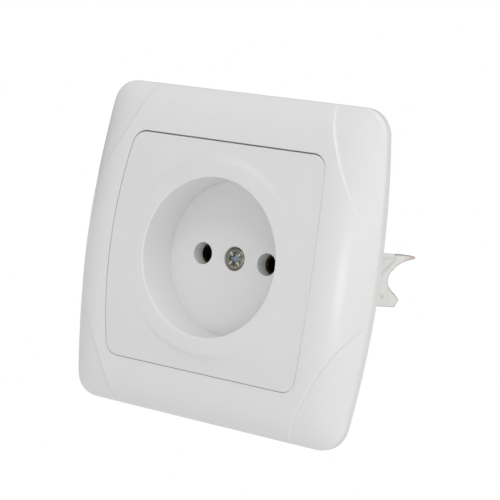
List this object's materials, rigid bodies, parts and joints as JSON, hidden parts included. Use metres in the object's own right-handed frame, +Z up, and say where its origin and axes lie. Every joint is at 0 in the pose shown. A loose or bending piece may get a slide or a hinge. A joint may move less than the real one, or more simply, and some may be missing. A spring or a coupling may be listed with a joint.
{
  "type": "unearthed wall socket",
  "caption": "Flush two-pole wall socket with no earth contact: domed square frame, round plug recess, insert with spreading claws.",
  "frame": {"origin": "on the axis of the plug recess, in the plane of the wall, at the centre of the box-screw slots", "axes": "+X to the right seen from the front, +Y into the wall, +Z up; the front faces -Y"},
  "size_m": [0.0848, 0.0422, 0.0808],
  "materials": {
    "frame_plastic": "glossy white moulding",
    "cover_plastic": "glossy white moulding",
    "base_plastic": "matt black moulding",
    "insulator": "matt insulating sheet",
    "plate_steel": "zinc-plated sheet",
    "claw_steel": "zinc-plated sheet",
    "plated_screw": "yellowish zinc plating",
    "steel_nut": "zinc plating",
    "rivet_steel": "bright steel",
    "pin_steel": "bright steel",
    "spring_steel": "blued spring steel",
    "clamp_steel": "zinc plating",
    "contact_brass": "dull rolled brass"
  },
  "bodies": {
    "root": {"outer_frame": "frame_plastic", "cover_plate": "cover_plastic", "cover_screw": "plated_screw", "centre_nut": "steel_nut", "mounting_plate": "plate_steel", "mechanism_base": "base_plastic", "contact_cover": "insulator", "contact_left": "contact_brass", "contact_spring_left": "spring_steel", "clamp_plate_left": "clamp_steel", "terminal_screw_left": "plated_screw", "plate_rivet_left": "rivet_steel", "claw_pin_left": "pin_steel", "claw_screw_left": "plated_screw", "contact_right": "contact_brass", "contact_spring_right": "spring_steel", "clamp_plate_right": "clamp_steel", "terminal_screw_right": "plated_screw", "plate_rivet_right": "rivet_steel", "claw_pin_right": "pin_steel", "claw_screw_right": "plated_screw"},
    "claw_left": {"claw_left": "claw_steel"},
    "claw_right": {"claw_right": "claw_steel"}
  },
  "joints": [
    {"name": "claw_right_spread", "type": "hinge", "parent": "root", "child": "claw_right", "pos_m": [0.0223, 0.0107, 0], "axis": [0, 0, -1], "range_deg": [-3, 14]},
    {"name": "claw_left_spread", "type": "hinge", "parent": "root", "child": "claw_left", "pos_m": [-0.0223, 0.0107, 0], "axis": [0, 0, 1], "range_deg": [-3, 14]}
  ]
}
